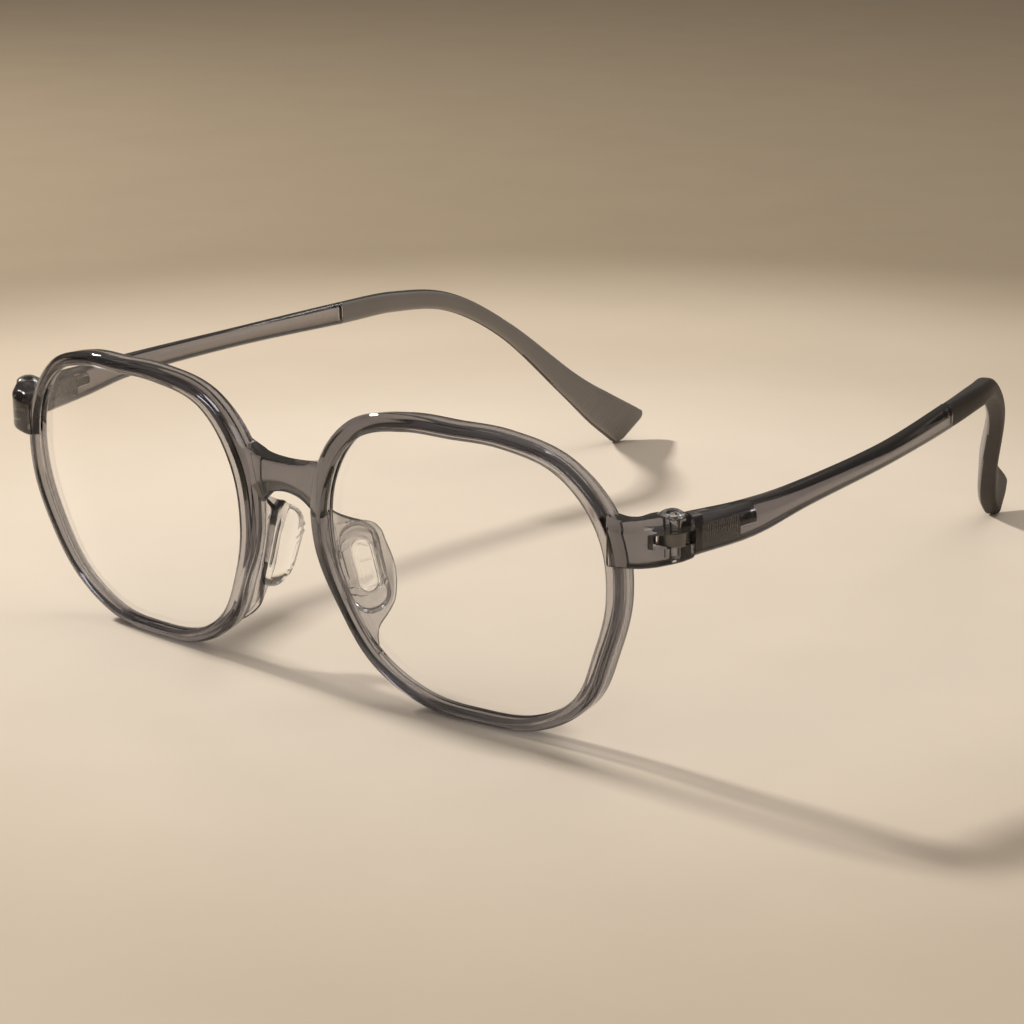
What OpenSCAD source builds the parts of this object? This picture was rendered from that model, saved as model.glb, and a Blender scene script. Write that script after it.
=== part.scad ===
// Square see-through eyeglasses with sprung temples.
// X runs to the wearer's left, Y to the rear and Z up. The pair stands on Z = 0.
// The origin is the middle of the footprint. Sizes are in millimetres.

/* [Lenses] */
// Distance between the two lens centres
lens_pitch = 68; // [66:0.5:74]
// Width of a lens
lens_w = 49.5; // [46:0.5:52]
// Height of a lens
lens_h = 44; // [41:0.5:47]
// Thickness of a lens
lens_t = 1.6; // [1.2:0.1:1.8]
// Radius of the curved faces of a lens
base_r = 85; // [75:1:120]
// Angle by which each lens turns round the face
wrap = 4.5; // [2:0.5:7]
// Angle by which the foot of the front leans to the cheeks
tilt = 6.3; // [4:0.1:9]

/* [Rims] */
// Width of a rim at its sides and foot
rim_w = 1.75; // [1.7:0.05:2.3]
// Width of a rim along its top
rim_top = 2.1; // [1.9:0.05:2.8]
// Depth of a rim, front to rear
rim_d = 3.7; // [3.5:0.1:4.4]
// Depth of the groove that holds the lens
groove_d = 0.6; // [0.4:0.05:0.75]

/* [Bridge] */
// Height of the bridge at its middle
bridge_h = 4.5; // [3.5:0.1:5.5]
// Depth of the bridge at its middle
bridge_d = 3.4; // [3:0.1:4]
// Height of the bridge top above the lens centres
bridge_up = 11.9; // [10.5:0.1:13]

/* [End pieces and hinges] */
// Height of the hinge above the lens centres
hinge_up = 10; // [8.5:0.1:11.5]
// Distance of a hinge pin outside its lens
hinge_out = 6.75; // [6.5:0.05:8]
// Distance of a hinge pin behind the middle of the rim
hinge_back = 4.2; // [3.9:0.1:4.8]
// Height of an end piece and of the front of its temple
end_h = 6.2; // [5.8:0.1:7]
// Thickness of an end piece
end_t = 3.8; // [3.6:0.1:4.2]
// Radius of a hinge pin
pin_r = 0.7; // [0.6:0.05:0.9]
// Radius of the head of a hinge pin
pin_head_r = 1.8; // [1.4:0.1:1.9]
// Height of the metal tongue of a slider
tongue_h = 1.8; // [1.4:0.1:2]
// Radius of the knuckle of a slider
knuckle_r = 2.1; // [1.8:0.05:2.15]
// Gap between an end piece and its temple
butt_gap = 0.4; // [0.35:0.05:0.8]
// Way that a temple can be pulled off its end piece
slide_way = 1.2; // [0.6:0.1:1.6]

/* [Springs] */
// Radius of the rod that carries a spring
rod_r = 0.45; // [0.35:0.05:0.5]
// Outer radius of a spring
coil_r = 1.1; // [1:0.05:1.15]
// Thickness of the spring wire
wire_d = 0.3; // [0.2:0.02:0.32]
// Length of a spring with the temple pulled out
coil_len = 8.4; // [7:0.1:9]
// Turns of a spring
coil_turns = 10; // [6:1:11]

/* [Nose pads] */
// Length of a nose pad
pad_l = 13.6; // [12:0.1:15]
// Width of a nose pad
pad_w = 6.6; // [5.6:0.1:7]
// Height by which a nose pad stands out
pad_t = 3.2; // [2.4:0.1:4]
// Thickness of a nose plate
plate_t = 1.2; // [1:0.1:1.6]

/* [Temples and tips] */
// Reach of a temple behind its hinge
temple_reach = 142.6; // [132:0.2:150]
// Thickness of a temple at its middle
temple_t = 2.6; // [2.4:0.1:3.2]
// Height of a temple at its middle
temple_h = 3.2; // [2.8:0.1:4]
// Height of the flat end of a tip
tip_h = 7.6; // [6.5:0.1:8.4]

/* [Hidden] */
$fn = 64;

// Clearances: lens in groove, pin in tongue, pin in ears, tongue in slot, sliding faces, soft fits
fit_lens = 0.05;
fit_run = 0.05;
fit_press = 0.02;
fit_slot = 0.1;
fit_slide = 0.05;
fit_soft = 0.05;

// Curves
function cubic(a, b, c, d, f) = let (
        k2 = 2 * a - 5 * b + 4 * c - d,
        k3 = 3 * (b - c) + d - a
    ) b + 0.5 * f * (c - a + f * (k2 + f * k3));
function around(i, n) = i - n * floor(i / n);
function on_loop(list, a) = let (
        n = len(list),
        q = a * n / 360,
        i = floor(q),
        near = [for (k = [-1:2]) list[around(i + k, n)]]
    ) cubic(near[0], near[1], near[2], near[3], q - i);
function on_path(list, q) = let (
        n = len(list) - 1,
        i = min(max(floor(q), 0), n - 1),
        b = list[i],
        c = list[i + 1],
        a = i > 0 ? list[i - 1] : 2 * b - c,
        d = i < n - 1 ? list[i + 2] : 2 * c - b
    ) cubic(a, b, c, d, q - i);
function unit(v) = v / norm(v);
function turned(ring) = [for (i = [len(ring) - 1:-1:0]) ring[i]];

// Skins over rings of points
function side_faces(n, m, closed) = [for (i = [0:n - (closed ? 1 : 2)], j = [0:m - 1]) let (
        k = (j + 1) % m,
        p = i * m,
        q = ((i + 1) % n) * m
    ) each [[p + j, p + k, q + j], [p + k, q + k, q + j]]];
module skin(rings) {
    n = len(rings);
    m = len(rings[0]);
    last = (n - 1) * m;
    first_cap = [for (j = [1:m - 2]) [0, j + 1, j]];
    last_cap = [for (j = [1:m - 2]) [last, last + j, last + j + 1]];
    polyhedron([for (r = rings) each r], concat(side_faces(n, m, false), first_cap, last_cap));
}
module ring_skin(rings) {
    polyhedron([for (r = rings) each r], side_faces(len(rings), len(rings[0]), true));
}

// Lens outline and the curved face that all of the front follows
outline = [24.6, 25.4, 24.7, 22.2, 20.9, 22.4, 25.3, 25.6, 24.8, 24.2, 24.7, 24.1, 23.2, 24.4, 24.9, 23.8];
outline_w = outline[0] + outline[8];
outline_h = outline[4] + outline[12];
rim_step = 5;
function edge(a) = let (r = on_loop(outline, a))
    [r * cos(a) * lens_w / outline_w, r * sin(a) * lens_h / outline_h];
function outward(a) = let (d = edge(a + 2) - edge(a - 2)) unit([d[1], -d[0]]);
function face_at(p, t) = let (
        y0 = base_r - sqrt(base_r * base_r - p[0] * p[0] - p[1] * p[1]) + t,
        x1 = p[0] * cos(wrap) - y0 * sin(wrap),
        y1 = p[0] * sin(wrap) + y0 * cos(wrap)
    ) [lens_pitch / 2 + x1, y1 * cos(tilt) - p[1] * sin(tilt), y1 * sin(tilt) + p[1] * cos(tilt)];
function rim_width(a) = rim_w + (rim_top - rim_w) * pow(max(sin(a), 0), 2);
function rim_raw(a, n, t) = face_at(edge(a) + n * outward(a), t);
lens_z = -min([for (a = [180:rim_step:360], t = [0.6, rim_d - 0.4]) rim_raw(a, rim_width(a), t)[2]]);
function rim_pt(a, n, t) = rim_raw(a, n, t) + [0, 0, lens_z];

// Rim: one section with its lens groove, carried round the outline
groove_front = (rim_d - lens_t) / 2 - 0.05;
groove_rear = groove_front + lens_t + 2 * fit_lens;
function rim_section(w) = [
    [0.5, 0], [w - 0.6, 0], [w, 0.6], [w, rim_d - 0.4], [w - 0.4, rim_d], [0.35, rim_d],
    [0, rim_d - 0.35], [0, groove_rear], [groove_d, groove_rear], [groove_d, groove_front],
    [0, groove_front], [0, 0.5]];
function rim_ring(a) = turned([for (q = rim_section(rim_width(a))) rim_pt(a, q[0], q[1])]);
module rim() {
    ring_skin([for (a = [0:rim_step:359]) rim_ring(a)]);
}
// Point inside the wall of the rim, where other pieces of the front are rooted
function root_pt(a, t) = rim_pt(a, rim_width(a) - 0.5, min(max(t, 0.6), rim_d - 0.6));

// Bridge: a section swept over the nose, rooted in both rims
nasal = rim_pt(168, rim_w, 0.5);
// Steps of the bridge: share of the way to a rim, rise of the top, drop of the foot
bridge_steps = [
    [0, 0, 0], [0.2, 0.03, 0.1], [0.4, 0.2, 0.35], [0.57, 0.45, 0.75], [0.72, 0.8, 1.3], [0.87, 1.3, 2.4]];
function bridge_ring(s, side) = let (
        top = lens_z + bridge_up + s[1],
        foot = lens_z + bridge_up - bridge_h - s[2],
        front = nasal[1] - 0.9 + 0.6 * s[0] * s[0],
        rear = front + bridge_d + 0.2 * s[0],
        low = foot + 0.4 * (top - foot)
    ) turned([for (q = [
        [front + 1.2, foot], [rear - 0.4, foot], [rear, foot + 0.5], [rear, low], [rear, top - 0.5],
        [rear - 0.4, top], [front + 0.3, top], [front, top - 0.3], [front, low]
    ]) [side * s[0] * nasal[0], q[0], q[1]]]);
// The end of the bridge inside a rim: share of the rim's depth, share of the way from foot to top
bridge_share = [[0.3, 0], [0.9, 0], [1, 0.1], [1, 0.4], [1, 0.9], [0.9, 1], [0.1, 1], [0, 0.93], [0, 0.4]];
function bridge_end(side) = turned([for (q = bridge_share)
    let (p = root_pt(172 - 26 * q[1], q[0] * rim_d)) [side * p[0], p[1], p[2]]]);
module bridge() {
    n = len(bridge_steps);
    skin(concat([bridge_end(-1)],
        [for (i = [n - 1:-1:1]) bridge_ring(bridge_steps[i], -1)],
        [for (i = [0:n - 1]) bridge_ring(bridge_steps[i], 1)],
        [bridge_end(1)]));
}

// End piece: swept in plan from the rim round to the hinge
root_mid = rim_pt(24, rim_w / 2, rim_d / 2);
hx = lens_pitch / 2 + lens_w / 2 + hinge_out;
hy = root_mid[1] + hinge_back;
hz = lens_z + hinge_up;
end_face = hy + 2;
end_top = hz + end_h / 2;
end_foot = hz - end_h / 2;
// Steps of the end piece: x from the pin, share of the way back to the pin, rise of top and foot
end_steps = [[-7, 0, 2.5, 0.9], [-5.6, 0.01, 1.5, 0.7], [-4.4, 0.03, 0.8, 0.5], [-2.9, 0.12, 0.35, 0.25],
    [-1.6, 0.36, 0.1, 0.1], [-0.5, 0.72, 0, 0], [0.2, 1.05, 0, 0], [0.5, 1.35, 0, 0]];
function end_mid(q) = let (s = on_path(end_steps, q))
    [hx + s[0], root_mid[1] + s[1] * (hy - root_mid[1]), end_top + s[2], end_foot + s[3]];
function end_section(h, top, foot, in_cut) = [[h - 0.35, foot], [h, foot + 0.35], [h, (top + foot) / 2],
    [h, top - 1.4], [h - 0.8, top], [0.3 - h + in_cut, top], [in_cut - h, top - 0.3],
    [in_cut - h, (top + foot) / 2], [in_cut - h, foot + 0.3], [0.3 - h + in_cut, foot]];
function end_ring(q) = let (
        m = end_mid(q),
        d = end_mid(q + 0.05) - end_mid(q - 0.05),
        o = unit([d[1], -d[0]])
    ) [for (s = end_section(end_t / 2, m[2], m[3], 0)) [m[0] + s[0] * o[0], m[1] + s[0] * o[1], s[1]]];
function end_last(y, in_cut) = [for (s = end_section(end_t / 2, end_top, end_foot, in_cut))
    [hx + 0.6 + s[0], y, s[1]]];
// The root of the end piece: share of the rim's depth, share of the way up
root_share = [
    [0.1, 0], [0, 0.08], [0, 0.5], [0, 0.82], [0.2, 1], [0.9, 1], [1, 0.93], [1, 0.5], [1, 0.08], [0.9, 0]];
module end_piece() {
    first = [for (s = root_share) root_pt(17.4 + 18.3 * s[1], s[0] * rim_d)];
    skin(concat([first], [for (q = [0:0.5:7]) end_ring(q)],
        [end_last(end_face - 0.4, 0), end_last(end_face, 0.35)]));
}
module at_hinge() {
    translate([hx, hy, hz]) children();
}
// Along a slider's axis: local Y points out of the pin into the temple
axis_out = 11;
module on_axis() {
    at_hinge() rotate([0, 0, -axis_out]) children();
}
slot_h = tongue_h + 2 * fit_slot;
ear_r = knuckle_r - 0.1;
slot_r = knuckle_r + 0.3;
module hinge_slot() {
    at_hinge() translate([0, 0, -slot_h / 2]) linear_extrude(slot_h) {
        circle(r = slot_r);
        translate([-1.3, -4.1]) square([end_t + 2, 8]);
        translate([-4.2, -1.75]) square([4.2, 5]);
    }
}
module ears() {
    at_hinge() translate([0, 0, 0.15 - end_h / 2]) cylinder(r = ear_r, h = end_h - 0.3);
}

// Nose plate: a knee from the rear of the rim to a flat plate with a slot
splay = 28;
frontal = 14.2;
plate_x = [sin(splay), cos(splay), 0];
plate_y = [-sin(frontal) * cos(splay), sin(frontal) * sin(splay), cos(frontal)];
plate_n = cross(plate_x, plate_y);
plate_o = rim_pt(192, rim_w, rim_d) + [1.3, 0.9, -0.1];
function plate_pt(x, y, n) = plate_o + x * plate_x + y * plate_y + n * plate_n;
// Rows of the plate from its foot up: height and rear edge
plate_rows = [
    [-14, 4.6], [-12.6, 4.7], [-11, 4.2], [-9.4, 4], [-8.4, 4.3], [-7.2, 5.5], [-5.6, 6.6], [-4, 7.05],
    [-2, 7.2], [0, 7], [2, 6.4], [4, 5.7], [5.4, 5.1], [6.4, 4.3], [7.2, 3.1], [7.7, 2]];
function plate_ring(r) = let (
        a = 192 - 2.45 * r[0],
        w = rim_width(a),
        knee = min((rim_pt(a, w, rim_d) - plate_o) * plate_x + 1.3, r[1] - 0.6),
        n0 = -plate_t
    ) [rim_pt(a, w - 0.25, rim_d - 0.6), plate_pt(knee, r[0], n0), plate_pt(r[1] - 0.4, r[0], n0),
        plate_pt(r[1], r[0], n0 + 0.4), plate_pt(r[1], r[0], -0.35), plate_pt(r[1] - 0.35, r[0], 0),
        plate_pt(knee, r[0], 0), rim_pt(a, w - 1.1, rim_d - 0.6)];
module plate_body() {
    skin([for (r = plate_rows) plate_ring(r)]);
}
module on_plate() {
    translate(plate_o) rotate([0, 0, -splay]) rotate([0, -frontal, 0]) rotate([0, 0, 90]) rotate([90, 0, 0])
        children();
}
module oval(l, w) {
    translate([0, (l - w) / 2]) circle(d = w);
    translate([0, (w - l) / 2]) circle(d = w);
    square([w, l - w], center = true);
}
slot_l = 8.2;
slot_w = 3.3;
module slot_shape(grow) {
    translate([2.85, 0.6]) rotate(8.5) oval(slot_l + 2 * grow, slot_w + 2 * grow);
}
module plate_slot() {
    on_plate() translate([0, 0, -plate_t - 1]) linear_extrude(plate_t + 2) slot_shape(0);
}

module front_side() {
    rim();
    end_piece();
    ears();
    plate_body();
}
module front_cuts() {
    hinge_slot();
    at_hinge() translate([0, 0, -end_h]) cylinder(r = pin_r + fit_press, h = 2 * end_h);
    plate_slot();
}
// The swept pieces are joined as one mesh first. The slots and the pin bores are then cut true.
module front_frame() {
    color("slategray") to_origin() difference() {
        resize([0, 0, 0]) union() {
            bridge();
            front_side();
            mirror([1, 0, 0]) front_side();
        }
        front_cuts();
        mirror([1, 0, 0]) front_cuts();
    }
}

// Lens: the outline, cut by its two curved faces
module lens() {
    n = groove_d - fit_lens;
    front = groove_front + fit_lens;
    translate([lens_pitch / 2, 0, lens_z]) rotate([tilt, 0, 0]) rotate([0, 0, wrap]) difference() {
        intersection() {
            rotate([90, 0, 0]) translate([0, 0, -14]) linear_extrude(15)
                polygon([for (a = [0:rim_step:359]) edge(a) + n * outward(a)]);
            translate([0, base_r + front, 0]) sphere(r = base_r, $fn = 180);
        }
        translate([0, base_r + front + lens_t, 0]) sphere(r = base_r, $fn = 180);
    }
}
module lens_left() {
    color("lightcyan") to_origin() lens();
}
module lens_right() {
    color("lightcyan") to_origin() mirror([1, 0, 0]) lens();
}

// Nose pad: a soft dome with a neck through the slot and a bead behind it
module nose_pad() {
    on_plate() {
        translate([0, 0, -plate_t - fit_soft - pad_t]) intersection() {
            linear_extrude(pad_t) translate([2.9, -0.2]) rotate(8) oval(pad_l, pad_w);
            translate([2.9, -0.2, pad_l * 0.7]) sphere(r = pad_l * 0.7, $fn = 96);
        }
        translate([0, 0, -plate_t - 2 * fit_soft - 0.4]) linear_extrude(plate_t + 0.5 + 3 * fit_soft)
            slot_shape(-0.1);
        translate([0, 0, fit_soft]) linear_extrude(0.7) slot_shape(0.25);
    }
}
module nose_pad_left() {
    color("aliceblue") to_origin() nose_pad();
}
module nose_pad_right() {
    color("aliceblue") to_origin() mirror([1, 0, 0]) nose_pad();
}

// Hinge pin: a shank with a low domed head
module hinge_pin() {
    head_h = 0.8;
    dome_r = (pin_head_r * pin_head_r + head_h * head_h) / (2 * head_h);
    at_hinge() {
        translate([0, 0, 0.35 - end_h / 2]) cylinder(r = pin_r, h = end_h - 0.3);
        translate([0, 0, end_h / 2 + fit_press]) intersection() {
            cylinder(r = pin_head_r, h = head_h);
            translate([0, 0, head_h + 0.15 - dome_r]) sphere(r = dome_r, $fn = 96);
        }
    }
}
module hinge_pin_left() {
    color("whitesmoke") to_origin() hinge_pin();
}
module hinge_pin_right() {
    color("whitesmoke") to_origin() mirror([1, 0, 0]) hinge_pin();
}

// Slider: knuckle on the pin, bar into the temple, rod and head through the spring
face_s = (end_face + butt_gap - hy) / cos(axis_out);
bar_w = 2;
bar_end = face_s + 1.45;
seat_front = face_s + 0.25;
seat_rear = bar_end + fit_slide + 0.8;
coil_from = seat_rear + fit_slide;
head_at = coil_from + coil_len + slide_way + fit_slide;
head_t = 0.8;
bore_r = coil_r + 0.15;
module spring_slider() {
    on_axis() {
        difference() {
            union() {
                translate([0, 0, -tongue_h / 2]) cylinder(r = knuckle_r, h = tongue_h);
                translate([-bar_w / 2, 0, -tongue_h / 2]) cube([bar_w, bar_end, tongue_h]);
            }
            translate([0, 0, -tongue_h]) cylinder(r = pin_r + fit_run, h = 2 * tongue_h);
        }
        rod_from = bar_end - 0.2;
        translate([0, rod_from, 0]) rotate([-90, 0, 0]) cylinder(r = rod_r, h = head_at + head_t - rod_from);
        translate([0, head_at, 0]) rotate([-90, 0, 0]) cylinder(r = coil_r, h = head_t);
    }
}
module spring_slider_left() {
    color("dimgray") to_origin() spring_slider();
}
module spring_slider_right() {
    color("dimgray") to_origin() mirror([1, 0, 0]) spring_slider();
}

// Spring seat: a metal block in the mouth of the temple, notched for the bar
seat_w = 2.4;
seat_h = end_h - 1.2;
module spring_seat() {
    notch = tongue_h + 2 * fit_slide;
    notch_to = bar_end + fit_slide;
    on_axis() difference() {
        translate([-seat_w / 2, seat_front, -seat_h / 2]) cube([seat_w, seat_rear - seat_front, seat_h]);
        translate([-seat_w, seat_front - 1, -notch / 2]) cube([2 * seat_w, notch_to - seat_front + 1, notch]);
        rotate([-90, 0, 0]) cylinder(r = rod_r + fit_run, h = seat_rear + 1);
    }
}
module spring_seat_left() {
    color("darkslategray") to_origin() spring_seat();
}
module spring_seat_right() {
    color("darkslategray") to_origin() mirror([1, 0, 0]) spring_seat();
}

// Coil spring: one tube wound by formula, its ends turned along the rod
coil_mid = coil_r - wire_d / 2;
coil_run = coil_len - 3 * wire_d;
coil_rings = 8;
function coil_spot(i) = let (
        a = 360 * i / coil_rings,
        s = coil_from + 1.5 * wire_d + coil_run * i / (coil_rings * coil_turns)
    ) [coil_mid * cos(a), s, -coil_mid * sin(a)];
function coil_round(c, way, spoke) = let (b = cross(way, spoke))
    [for (k = [0:5]) c + wire_d / 2 * (cos(60 * k) * spoke + sin(60 * k) * b)];
coil_last = coil_rings * coil_turns;
coil_pts = [for (i = [0:coil_last]) coil_spot(i)];
function spoke_at(c) = unit([c[0], 0, c[2]]);
function coil_way(i) = unit(coil_spot(i + 0.5) - coil_spot(i - 0.5));
module hinge_spring() {
    first = coil_pts[0];
    last = coil_pts[coil_last];
    f_way = unit(coil_way(0) + [0, 1, 0]);
    l_way = unit(coil_way(coil_last) + [0, 1, 0]);
    on_axis() skin(concat(
        [coil_round([first[0], coil_from, first[2]], [0, 1, 0], spoke_at(first)),
            coil_round([first[0], coil_from + wire_d, first[2]], [0, 1, 0], spoke_at(first)),
            coil_round(first, f_way, spoke_at(first))],
        [for (i = [1:coil_last - 1]) coil_round(coil_pts[i], coil_way(i), spoke_at(coil_pts[i]))],
        [coil_round(last, l_way, spoke_at(last)),
            coil_round([last[0], coil_from + coil_len - wire_d, last[2]], [0, 1, 0], spoke_at(last)),
            coil_round([last[0], coil_from + coil_len, last[2]], [0, 1, 0], spoke_at(last))]));
}
coil_gap = min([for (i = [0:coil_last - 5], j = [i + 5:coil_last]) norm(coil_pts[i] - coil_pts[j])]) - wire_d;
echo(least_gap_of_the_coil_to_itself = coil_gap);
module hinge_spring_left() {
    color("silver") to_origin() hinge_spring();
}
module hinge_spring_right() {
    color("silver") to_origin() mirror([1, 0, 0]) hinge_spring();
}

// Temple and tip: one route, with a section that changes along it
butt = end_face + butt_gap;
// Corner cut off the inner front edge, so that the temple folds clear of its end piece
fold_cut = 1.15;
far = temple_reach / 142.6;
drop = (hz - 3.62) / 30.7;
fat = temple_t / 2.6;
tall = temple_h / 3.2;
// Stations of the route: x from the pin, y behind the end piece, z from the hinge, height, thickness
route = [
    [0.5, 0, -0.05, end_h - 0.1, end_t],
    [2.9, 12.6 * far, 0.1, 4.7, 3.4],
    [3.7, 26.6 * far, 0.5, 3.4 * tall, 3 * fat],
    [2.8, 51.6 * far, 0.7, temple_h, temple_t],
    [-0.1, 76.6 * far, 1, 4, 2.5 * fat],
    [-2.3, 90.6 * far, 1, 3.7, 3.2],
    [-6.1, 102.6 * far, -0.9, 3.3, 3.4],
    [-10.9, 114.6 * far, -8.5 * drop, 3, 3.2],
    [-18.2, 126.6 * far, -20.5 * drop, 4.3, 3],
    [-23.9, 136.6 * far, -28.4 * drop, 0.88 * tip_h, 2.6],
    [-26, 142.6 * far, -30.7 * drop, tip_h, 2.2]];
function route_pt(q) = let (s = on_path(route, q)) [hx + s[0], butt + s[1], hz + s[2]];
function route_size(q) = let (s = on_path(route, q)) [s[4] / 2, s[3] / 2];
function bar_section(t, h, c, lean) = [
    [t - c, -h], [t, c - h], [t, 0.2 * h], [t - lean, h - c], [t - lean - c, h],
    [c - t, h], [-t, h - c], [-t, c - h], [c - t, -h]];
function route_ring(q, ahead, grow, c, lean) = let (
        way = unit(route_pt(q + 0.05) - route_pt(q - 0.05)),
        side = unit([way[1], -way[0], 0]),
        up = cross(side, way),
        g = route_size(q) + [grow[0], grow[1]],
        o = route_pt(q) + ahead * way
    ) [for (s = bar_section(g[0], g[1], c, lean)) o + s[0] * side + s[1] * up];
function butt_ring() = let (g = route_size(0), m = route_pt(0))
    [for (s = bar_section(g[0], g[1], 0.5, 0.3)) [m[0] + s[0], butt, m[2] + s[1]]];
seam = 4;
tenon = 5.7;
function tenon_grow(q, gap) = [gap - 0.42 * route_size(q)[0], gap - 0.4 * route_size(q)[1]];
module temple() {
    difference() {
        skin(concat([butt_ring()],
            [for (q = [0.25:0.25:seam]) route_ring(q, 0, [0, 0], 0.5, 0.35)],
            [for (q = [seam:0.34:tenon + 0.01]) route_ring(q, 0, tenon_grow(q, 0), 0.25, 0.1)]));
        on_axis() translate([-seat_w / 2 - fit_press, face_s - 2, -seat_h / 2 - fit_press])
            cube([seat_w + 2 * fit_press, seat_rear - face_s + 2, seat_h + 2 * fit_press]);
        on_axis() rotate([-90, 0, 0]) cylinder(r = bore_r, h = head_at + head_t + 0.4);
        translate([hx + 0.5 - end_t / 2 + fold_cut, butt, hz - end_h]) rotate([0, 0, 135])
            cube([4, 4, 2 * end_h]);
    }
}
module temple_left() {
    color("lightslategray") to_origin() temple();
}
module temple_right() {
    color("lightslategray") to_origin() mirror([1, 0, 0]) temple();
}
// The last rings of a tip, which round off its end
end_rings = [
    route_ring(10, fit_soft, [0.05, 0.05], 0.7, 0.3),
    route_ring(10, 0.6, [-0.1, -0.3], 0.7, 0.2),
    route_ring(10, 1, [-0.4, -0.9], 0.5, 0.1)];
module temple_tip() {
    gap = fit_soft;
    skin(concat(
        [for (q = [tenon + 0.01:-0.34:seam]) route_ring(q, gap, tenon_grow(q, gap), 0.25, 0.1)],
        [for (q = [seam:0.25:9.75]) route_ring(q, gap, [0.05, 0.05], 0.7, 0.3)],
        end_rings));
}
module temple_tip_left() {
    color("dimgray") to_origin() temple_tip();
}
module temple_tip_right() {
    color("dimgray") to_origin() mirror([1, 0, 0]) temple_tip();
}

// The origin: middle of the footprint
front_y = min([for (a = [0:rim_step:359], q = rim_section(rim_width(a))) rim_raw(a, q[0], q[1])[1]]);
rear_y = max([for (r = end_rings, p = r) p[1]]);
mid_y = (front_y + rear_y) / 2;
module to_origin() {
    translate([0, -mid_y, 0]) children();
}

front_frame();
lens_left();
lens_right();
nose_pad_left();
nose_pad_right();
hinge_pin_left();
hinge_pin_right();
spring_slider_left();
spring_slider_right();
spring_seat_left();
spring_seat_right();
hinge_spring_left();
hinge_spring_right();
temple_left();
temple_right();
temple_tip_left();
temple_tip_right();
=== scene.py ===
# %% [markdown]
# # A pair of square see-through eyeglasses
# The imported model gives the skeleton: named bodies, the hinges and the plain solids. This notebook dresses
# it. Every visible piece is made again as a finer mesh with its real finish, in metres, in the same frame,
# and rides on the body that carries it, so the temples still fold and spring.

# %% Load the frame
import math
import bmesh
import bpy
import numpy as np
from mathutils import Matrix, Vector


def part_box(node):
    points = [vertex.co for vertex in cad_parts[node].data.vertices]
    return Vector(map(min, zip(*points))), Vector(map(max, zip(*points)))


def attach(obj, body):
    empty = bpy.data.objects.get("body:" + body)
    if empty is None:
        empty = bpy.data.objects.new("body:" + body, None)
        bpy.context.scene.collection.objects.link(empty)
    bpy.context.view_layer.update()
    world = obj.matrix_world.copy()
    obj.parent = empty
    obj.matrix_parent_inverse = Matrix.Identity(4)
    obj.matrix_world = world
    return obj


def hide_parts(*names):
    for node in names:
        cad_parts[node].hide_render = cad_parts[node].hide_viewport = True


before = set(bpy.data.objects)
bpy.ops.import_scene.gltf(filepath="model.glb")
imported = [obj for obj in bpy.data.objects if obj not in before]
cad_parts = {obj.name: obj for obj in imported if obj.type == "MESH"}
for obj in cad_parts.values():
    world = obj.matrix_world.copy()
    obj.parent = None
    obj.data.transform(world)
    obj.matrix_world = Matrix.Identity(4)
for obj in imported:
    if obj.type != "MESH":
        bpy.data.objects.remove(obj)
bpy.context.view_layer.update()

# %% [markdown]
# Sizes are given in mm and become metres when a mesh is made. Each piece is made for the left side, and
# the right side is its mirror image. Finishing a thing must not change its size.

MM = 0.001
SIDES = (("left", 1), ("right", -1))
scene = bpy.context.scene

# %% [markdown]
# A lens is cut to an outline, and everything else on the front follows that outline: the groove, the rim,
# the roots of the bridge and of the end pieces. So the outline comes first. It is given as sixteen
# distances from the middle of the lens, one every 22.5 degrees, with a smooth curve through them.

# %% The outline of a lens
LENS_PITCH, LENS_W, LENS_H, LENS_T = 68.0, 49.5, 44.0, 1.6
# The gap left between pieces that sit in one another
FIT = 0.05
OUTLINE = [24.6, 25.4, 24.7, 22.2, 20.9, 22.4, 25.3, 25.6, 24.8, 24.2, 24.7, 24.1, 23.2, 24.4, 24.9, 23.8]


def cubic(a, b, c, d, f):
    """A smooth step from b to c, with a and d as their neighbours."""
    return b + 0.5 * f * (c - a + f * (2 * a - 5 * b + 4 * c - d + f * (3 * (b - c) + d - a)))


def round_lens(values, angle):
    """A smooth value round the lens from one value every 22.5 degrees."""
    values, count = np.asarray(values, float), len(values)
    turn = (np.asarray(angle, float) * count / 360) % count
    i = np.floor(turn).astype(int)
    return cubic(values[(i - 1) % count], values[i % count], values[(i + 1) % count],
                 values[(i + 2) % count], turn - i)


def lens_edge(angle):
    """Points of the lens outline, seen from the front, at angles in degrees."""
    r, a = round_lens(OUTLINE, angle), np.radians(angle)
    return np.stack([r * np.cos(a) * LENS_W / (OUTLINE[0] + OUTLINE[8]),
                     r * np.sin(a) * LENS_H / (OUTLINE[4] + OUTLINE[12])], -1)


def lens_outward(angle):
    """Directions square to the outline, pointing away from the lens."""
    d = lens_edge(np.asarray(angle, float) + 2) - lens_edge(np.asarray(angle, float) - 2)
    return np.stack([d[..., 1], -d[..., 0]], -1) / np.linalg.norm(d, axis=-1, keepdims=True)


print("lens outline, mm:", np.round(np.ptp(lens_edge(np.arange(0, 360, 2)), axis=0), 2))

# %% [markdown]
# Lenses are bent like the skin of a ball, and each is turned a little round the face and leaned towards
# the cheeks. One function carries a flat point on to that bent face. The pair stands on its rims, so the
# lenses are lifted until the lowest point of a rim touches the floor, as in the plain model.

# %% Bend the flat outline on to the face
BASE_R, WRAP, TILT = 85.0, math.radians(4.5), math.radians(6.3)
RIM_W, RIM_TOP, RIM_D, GROOVE_D = 1.75, 2.1, 3.7, 0.6
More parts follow.
